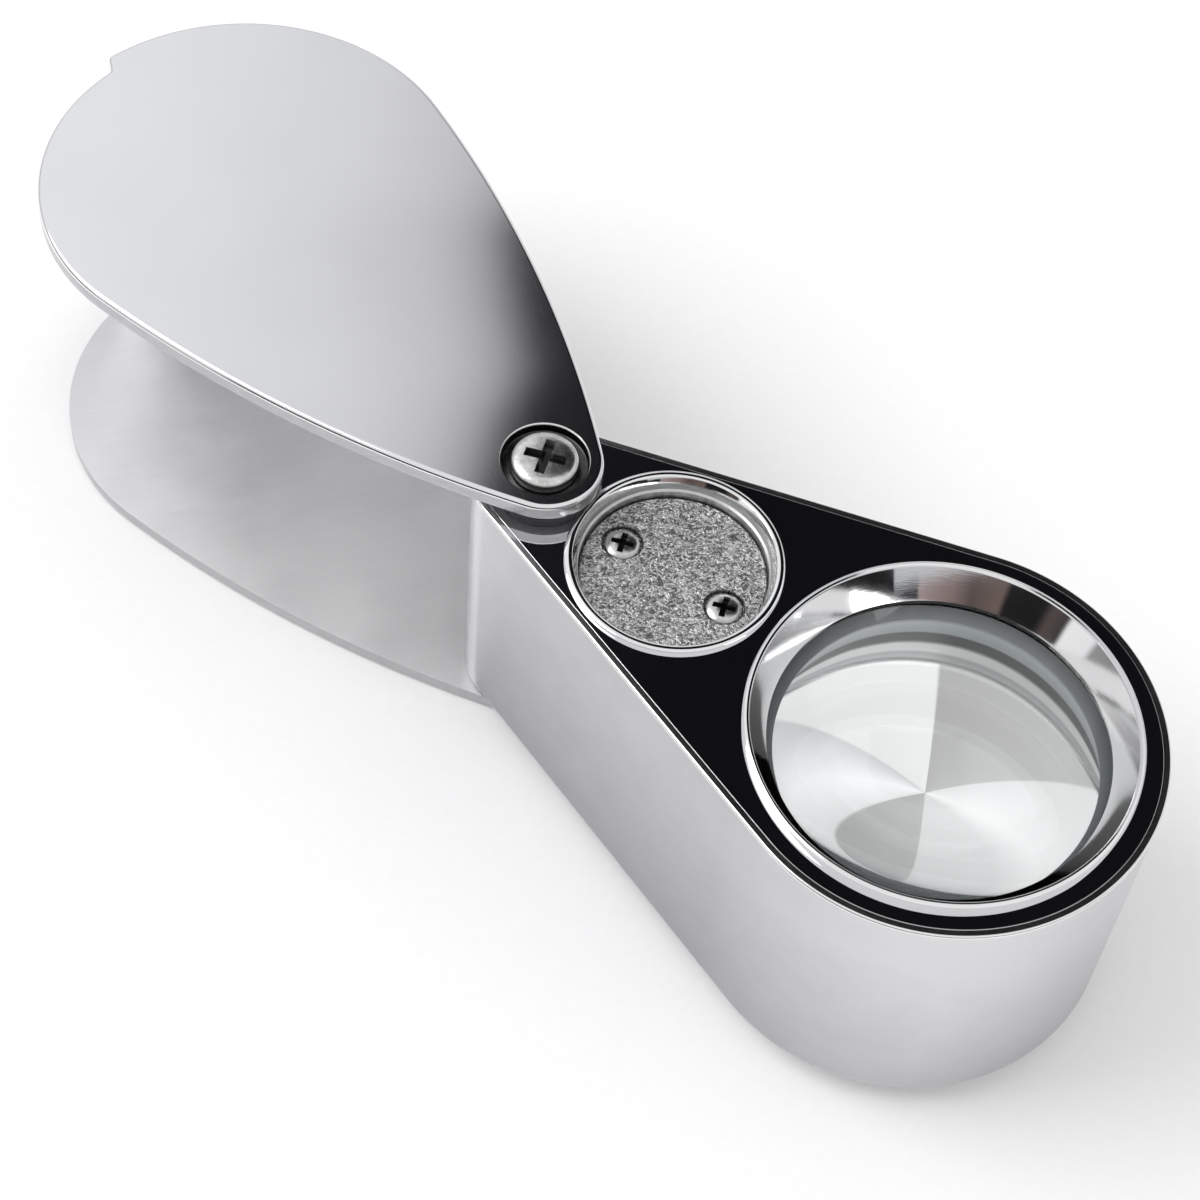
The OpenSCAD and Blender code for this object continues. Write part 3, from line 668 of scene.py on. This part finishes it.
polish = (rim_line + foot_wear * 0.5).clamp()
# Painted light: the plating is painted lighter towards the top and towards the lens end.
painted_light = (body_z.between(BODY_LOW, BODY_TOP - 4.0) * 0.55 + body_x.between(26.0, 44.0) * 0.5
       + (mottle - 0.5) * 0.3).clamp()
plating_and_painted_light = satin.mix(painted_light, (0.36, 0.36, 0.375), (0.7, 0.7, 0.71))
satin.feed(Base_Color=satin.mix(polish, plating_and_painted_light, (0.88, 0.88, 0.88)),
           Roughness=(mottle * 0.1 + pits * 0.06 + 0.26) - polish * 0.2)
satin.bump(pits * (1.0 - polish) + mottle * 0.3, 0.014, 0.35)
goes_on(housing, "housing", "satin_housing", "housing_shell", satin)


# Face plate. A sheet let into the rim, flat and mirror polished, held by the two rings. Its holes
# let the pivot, the bezel and the battery cap's ring through.
BEZEL_HOLE, CAP_X, CAP_HOLE = 13.25, 11.75, 7.25
plate = teardrop("face_plate_sheet", -RIM - 0.05, INLAY, BODY_TOP - INLAY)
round_edges(plate, edges_at(BODY_TOP), 0.07, 2)
cut_away(plate,
         drill("pivot_hole", 0, BORE, 20, 30, 64),
         drill("lens_hole", LENS_X, BEZEL_HOLE, 20, 30, 96),
         drill("cap_hole", CAP_X, CAP_HOLE, 20, 30, 96))
smooth(plate, 30)
mirror = Finish("mirror_face", Metallic=1.0)
haze = mirror.noise(6.0, 4.0, 0.55)
scuffs = mirror.noise(0.1, 2.0, 0.7, at=mirror.moved(turn=(0, 0, -0.7), scale=(0.06, 1, 1)))
mirror.feed(Base_Color=mirror.mix(haze, (0.74, 0.74, 0.76), (0.8, 0.8, 0.82)),
            Roughness=haze * 0.03 + scuffs.between(0.6, 0.85) * 0.05 + 0.02)
mirror.bump(scuffs, 0.002, 0.2)
goes_on(plate, "housing", "mirror_face", "face_plate", mirror)


# Bezel. A bright plated ring screwed into the barrel, its rounded lip proud of the face. Its
# sloping inside leads down to the upper lens and holds it.
BEZEL = 14.05
BEZEL_TOP = BODY_TOP + 0.7
LENS_TOP = BEZEL_TOP - 2.6
bezel = turned("bezel_ring", LENS_X, [
    (BEZEL, BODY_TOP), (BEZEL, BEZEL_TOP - 0.3), (BEZEL - 0.05, BEZEL_TOP - 0.13),
    (BEZEL - 0.15, BEZEL_TOP - 0.04), (BEZEL - 0.28, BEZEL_TOP), (BEZEL - 0.42, BEZEL_TOP - 0.03),
    (BEZEL - 0.52, BEZEL_TOP - 0.13), (12.22, LENS_TOP + 0.32), (12.15, LENS_TOP + 0.2),
    (12.15, LENS_TOP), (13.2, LENS_TOP), (13.2, BODY_TOP)], 192)
smooth(bezel, 28)
bright = Finish("bright_chrome", Metallic=1.0)
wave = bright.noise(0.35, 3.0, 0.6, at=bright.moved(scale=(0.25, 0.25, 4.0)))
drift = bright.noise(5.0, 3.0, 0.5)
bright.feed(Base_Color=bright.mix(drift, (0.84, 0.84, 0.85), (0.92, 0.92, 0.925)),
            Roughness=wave * 0.03 + drift * 0.03 + 0.03)
bright.bump(wave, 0.004, 0.25)
goes_on(bezel, "housing", "bright_chrome", "lens_bezel", bright)


# Lenses. Two plano-convex glasses, curved sides facing, in a pale barrel. The lower one rests on
# the barrel's ledge, a stepped plastic ring spaces them, and the bezel holds the stack.
GLASS, EDGE, SAG = 12.5, 1.5, 3.0
BALL = (GLASS ** 2 + SAG ** 2) / (2 * SAG)
SEAT = 12.0
LENS_UNDER = LENS_TOP - EDGE
DOME_STEPS = 24


def lens(name, flat, up):
    dome = []
    for i in range(DOME_STEPS + 1):
        radius = GLASS * (1 - i / DOME_STEPS)
        dome.append((radius, flat + up * (EDGE + SAG - BALL + math.sqrt(BALL ** 2 - radius ** 2))))
    made = turned(name, LENS_X, [(0, flat), (GLASS - 0.15, flat), (GLASS, flat + up * 0.15)] + dome, 128)
    smooth(made, 30)
    return made


upper = lens("upper_glass", LENS_TOP, -1)
lower = lens("lower_glass", SEAT, 1)
glass = Finish("lens_glass", Transmission_Weight=1.0, IOR=1.5)
film = glass.noise(4.0, 4.0, 0.5)
glass.feed(Base_Color=glass.mix(film, (0.96, 0.975, 0.975), (0.985, 0.99, 0.99)), Roughness=film * 0.004)
goes_on(upper, "housing", "lens_glass", "upper_lens", glass)

# The lower glass shows five wide sectors, pale and grey, that are painted light: they glow on its
# domed side only, inside the spacer, over a darker glass colour.
petal = Finish("sector_glow_glass", Transmission_Weight=1.0, IOR=1.5)
petal_x, petal_y, petal_z = petal.moved(centre=(LENS_X, 0, 0)).parts()
round_share = (petal_y.math("ARCTAN2", petal_x) / (2 * math.pi) + 1.0).math("FRACT")
# Painted light: the glowing tones of the five sectors round the lens axis.
tone = petal.node("ShaderNodeValToRGB", {"stops": [
    (0.0, (0.72, 0.725, 0.73)), (0.05, (0.92, 0.92, 0.925)), (0.142, (0.76, 0.76, 0.765)),
    (0.144, (0.5, 0.5, 0.5)), (0.322, (0.41, 0.41, 0.405)), (0.324, (0.84, 0.84, 0.84)),
    (0.4805, (0.78, 0.78, 0.78)), (0.4825, (0.56, 0.565, 0.58)), (0.55, (0.92, 0.92, 0.93)),
    (0.624, (0.76, 0.76, 0.765)), (0.626, (0.4, 0.4, 0.4)), (0.8305, (0.46, 0.46, 0.46)),
    (0.8325, (0.7, 0.7, 0.705)), (1.0, (0.72, 0.725, 0.73))]}, {0: round_share})
away = (petal_x * petal_x + petal_y * petal_y).math("SQRT")
inside = 1.0 - away.between(11.1, 11.35)
glow_area = petal_z.between(SEAT + EDGE * 0.5, SEAT + EDGE * 0.6) * inside
petal.shader.inputs["Emission Strength"].default_value = 1.0
film = petal.noise(4.0)
tint = petal.mix(film, (0.95, 0.96, 0.96), (0.98, 0.985, 0.985))
petal.feed(Base_Color=petal.mix(glow_area, tint, (0.22, 0.22, 0.22)), Roughness=film * 0.004,
           Emission_Color=petal.mix(glow_area, (0.0, 0.0, 0.0), tone))
goes_on(lower, "housing", "lens_glass", "lower_lens", petal)

white = Finish("barrel_plastic", Roughness=0.4, IOR=1.5)
flow = white.noise(2.0, 4.0, 0.5)
white.feed(Base_Color=white.mix(flow, (0.74, 0.75, 0.76), (0.86, 0.865, 0.87)), Roughness=flow * 0.15 + 0.3)
white.bump(white.noise(0.3, 3.0), 0.01, 0.3)
barrel = turned("barrel_tube", LENS_X, [
    (14.6, FLOOR_TOP), (14.6, INLAY), (BEZEL_HOLE, INLAY), (BEZEL_HOLE, LENS_TOP), (12.6, LENS_TOP),
    (12.6, SEAT), (11.2, SEAT), (11.2, 11.0), (BEZEL_HOLE, 11.0), (BEZEL_HOLE, FLOOR_TOP)], 128)
smooth(barrel, 30)
goes_on(barrel, "housing", "barrel_plastic", "lens_barrel", white)

spacer = turned("spacer_ring", LENS_X, [
    (GLASS, LENS_UNDER - 0.12), (GLASS, SEAT + EDGE + 0.12), (11.5, SEAT + EDGE + 0.6),
    (11.45, SEAT + EDGE + 0.9), (11.45, LENS_UNDER - 0.9), (11.5, LENS_UNDER - 0.6)], 128)
smooth(spacer, 30)
ringed = Finish("spacer_plastic", Roughness=0.4, IOR=1.5)
flow = ringed.noise(2.0, 4.0, 0.5)
rise = ringed.place.parts()[2].between(SEAT + 2.0, LENS_UNDER)
# Painted reflections and shade: pale, near black and bluish bands run up the spacer's height.
painted_reflection_bands = ringed.node("ShaderNodeValToRGB", {"stops": [
    (0.0, (0.8, 0.8, 0.8)), (0.14, (0.5, 0.52, 0.53)), (0.2, (0.9, 0.9, 0.9)), (0.34, (0.9, 0.9, 0.9)),
    (0.38, (0.3, 0.32, 0.33)), (0.42, (0.03, 0.033, 0.036)), (0.6, (0.03, 0.033, 0.036)),
    (0.63, (0.4, 0.44, 0.46)), (0.86, (0.55, 0.59, 0.61)), (0.93, (0.3, 0.32, 0.33)),
    (1.0, (0.12, 0.13, 0.135))]}, {0: rise + (flow - 0.5) * 0.02})
ringed.feed(Base_Color=painted_reflection_bands, Roughness=flow * 0.15 + 0.3)
ringed.bump(ringed.noise(0.3, 3.0), 0.01, 0.3)
goes_on(spacer, "housing", "barrel_plastic", "lens_spacer", ringed)


# Light. A dark grey ring board under the barrel's ledge carries two clear LEDs. Three button cells
# in a black moulded holder light them, under a contact carrier of the same plastic.
board = Finish("board", Roughness=0.4)
lay = board.noise(1.1, 5.0, 0.7)
board.feed(Base_Color=board.mix(lay, (0.09, 0.1, 0.105), (0.15, 0.16, 0.165)), Roughness=lay * 0.2 + 0.25)
board.bump(lay, 0.02, 0.3)
dress(board, "led_board")

resin = Finish("led_resin", Roughness=0.15, IOR=1.5)
inner_tint = resin.noise(0.8, 3.0, 0.5)
resin.feed(Base_Color=resin.mix(inner_tint, (0.86, 0.84, 0.62), (0.95, 0.94, 0.84)),
           Roughness=inner_tint * 0.1 + 0.08)
resin.bump(inner_tint, 0.01, 0.2)
dress(resin, "led_left", "led_right")

black = Finish("holder_plastic", Roughness=0.5)
texture = black.noise(0.4, 4.0, 0.6)
black.feed(Base_Color=black.mix(texture, (0.02, 0.02, 0.02), (0.05, 0.05, 0.05)),
           Roughness=texture * 0.2 + 0.4)
black.bump(texture, 0.02, 0.4)
dress(black, "battery_holder", "contact_carrier")

can = Finish("cell_can", Metallic=1.0)
swirl = can.noise(1.0, 4.0, 0.6)
can.feed(Base_Color=can.mix(swirl, (0.6, 0.6, 0.61), (0.76, 0.76, 0.77)), Roughness=swirl * 0.2 + 0.2)
can.bump(swirl, 0.01, 0.3)
dress(can, "button_cell_1", "button_cell_2", "button_cell_3")


# Battery cap. A bright ring screwed into the face, with a rough cast disc sunk in it that two
# small cross-head screws hold to the contact carrier.
CAP, CAP_TOP = 7.95, BODY_TOP + 0.4
COVER = 6.8
COVER_LOW, COVER_TOP = 23.7, 24.6
ring = turned("cap_ring", CAP_X, [
    (CAP, BODY_TOP), (CAP, CAP_TOP - 0.22), (CAP - 0.06, CAP_TOP - 0.08), (CAP - 0.2, CAP_TOP),
    (CAP - 0.45, CAP_TOP), (CAP - 0.6, CAP_TOP - 0.07), (COVER + 0.28, CAP_TOP - 0.5),
    (COVER + 0.2, CAP_TOP - 0.7), (COVER + 0.2, CAP_TOP - 1.0), (COVER + 0.26, CAP_TOP - 1.06),
    (COVER + 0.26, CAP_TOP - 1.16), (COVER + 0.1, CAP_TOP - 1.3), (COVER + 0.1, COVER_LOW),
    (6.2, COVER_LOW), (6.2, COVER_LOW - 1), (7.2, COVER_LOW - 1), (7.2, BODY_TOP)], 160)
smooth(ring, 30)
wall = Finish("cap_wall", Metallic=1.0)
streak = wall.noise(0.5, 3.0, 0.6, at=wall.moved(scale=(0.3, 0.3, 4.0)))
wall.feed(Base_Color=wall.mix(streak, (0.36, 0.36, 0.37), (0.8, 0.8, 0.8)), Roughness=streak * 0.2 + 0.28)
wall.bump(streak, 0.02, 0.4)
goes_on(ring, "housing", "bright_chrome", "battery_cap_ring", bright, wall)
WALL_SLOT = 1
for face in ring.data.polygons:
    middle = face.center / MM
    if math.hypot(middle.x - CAP_X, middle.y) < COVER + 0.3 and middle.z < CAP_TOP - 0.45:
        face.material_index = WALL_SLOT

HOLE, SHANK_HOLE, APART = 1.5, 0.75, 4.5
SMALL_SHANK, SMALL_HEAD = 0.7, 1.4
SEAT_HEIGHT = COVER_TOP - 0.55
disc = turned("cover_disc", CAP_X, [
    (0, COVER_LOW), (COVER, COVER_LOW), (COVER, COVER_TOP - 0.1), (COVER - 0.1, COVER_TOP),
    (0, COVER_TOP)], 128)
small = []
for way in (-1, 1):
    x = CAP_X + way * APART
    cut_away(disc, turned("screw_hole", x, [
        (0, 20), (SHANK_HOLE, 20), (SHANK_HOLE, SEAT_HEIGHT), (HOLE, SEAT_HEIGHT), (HOLE, COVER_TOP - 0.1),
        (HOLE + 0.06, COVER_TOP + 0.01), (HOLE + 0.06, 26), (0, 26)], 48))
    one = turned("cover_screw", x, [
        (0, 21.5), (SMALL_SHANK, 21.5), (SMALL_SHANK, SEAT_HEIGHT), (SMALL_HEAD - 0.06, SEAT_HEIGHT),
        (SMALL_HEAD, SEAT_HEIGHT + 0.08), (SMALL_HEAD, COVER_TOP - 0.34), (1.25, COVER_TOP - 0.17),
        (0.95, COVER_TOP - 0.06), (0.5, COVER_TOP), (0, COVER_TOP)], 48)
    cut_away(one, *cross_cutter(x, 2.0, 0.5, COVER_TOP, 0.42))
    small.append(one)
smooth(disc, 30)
cast = Finish("cast_cover", Metallic=1.0)
crust = cast.noise(0.34, 3.0, 0.55, at=cast.moved(turn=(0, 0, 0.6), scale=(1.0, 0.75, 0.3)), twist=1.6)
fine = cast.noise(0.1, 3.0, 0.6)
cast.feed(Base_Color=cast.mix(crust.between(0.4, 0.62), (0.14, 0.14, 0.14), (0.78, 0.78, 0.78)),
          Roughness=fine * 0.25 + 0.14)
cast.bump(crust * 0.85 + fine * 0.15, 0.2, 1.0)
goes_on(disc, "housing", "cast_cover", "battery_cover_disc", cast)

pick(*small)
bpy.ops.object.join()
screws = small[0]
screws.name = "cover_screws"
smooth(screws, 30)
shaded_small_steel = Finish("small_screw_steel", Metallic=1.0)
rub = shaded_small_steel.noise(0.5, 4.0, 0.6)
# Painted shade: below the top of the head, in the cross and round the sunk sides, the screws are painted near
# black.
low = 1.0 - shaded_small_steel.place.parts()[2].between(COVER_TOP - 0.36, COVER_TOP - 0.1)
head = shaded_small_steel.mix(rub, (0.45, 0.45, 0.45), (0.8, 0.8, 0.8))
shaded_small_steel.feed(Base_Color=shaded_small_steel.mix(low, head, (0.03, 0.03, 0.03)), Roughness=rub * 0.2 + 0.12)
shaded_small_steel.bump(rub, 0.02, 0.5)
goes_on(screws, "housing", "screw_steel", "battery_cover_screws", shaded_small_steel)
